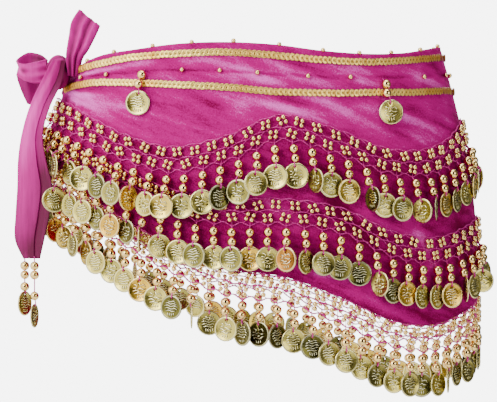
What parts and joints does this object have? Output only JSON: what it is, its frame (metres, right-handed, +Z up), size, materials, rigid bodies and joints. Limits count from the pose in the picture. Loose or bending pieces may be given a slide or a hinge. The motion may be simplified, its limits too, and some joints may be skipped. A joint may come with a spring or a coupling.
{
  "type": "belly dance hip scarf",
  "caption": "Velvet hip scarf in its worn, hollow form, tied in a half bow at one hip, with gold sequin bands, wavy beaded net and rows of hanging beads and coins.",
  "frame": {"origin": "middle of the hollow that the hips fill, level with the waist edge, where the wearer holds it up", "axes": "+Z up, front of the wearer towards -Y, the knot on the wearer's right hip at -X and the deepest point of the hem at +X"},
  "size_m": [0.3818, 0.2608, 0.3128],
  "materials": {
    "velvet": "velvet pile",
    "satin": "satin",
    "net_thread": "crochet thread",
    "sequins": "metallised gold",
    "gold_trim": "polished"
  },
  "bodies": {
    "root": {"velvet_front": "velvet", "velvet_back": "velvet", "sequin_strip_upper": "sequins", "sequin_strip_lower": "sequins", "net_hem_front": "net_thread", "net_hem_back": "net_thread", "knot": "satin", "tie_strap": "satin", "bow_loop": "satin", "tie_end_up": "satin", "tie_end_short": "satin", "tie_tail": "satin", "net_fringe_upper": "gold_trim", "net_fringe_middle": "gold_trim", "coin_fringe_hem": "gold_trim", "coin_pendant_1": "gold_trim", "coin_pendant_2": "gold_trim", "coin_pendant_3": "gold_trim", "coin_pendant_4": "gold_trim", "tail_strings": "gold_trim"}
  },
  "joints": []
}
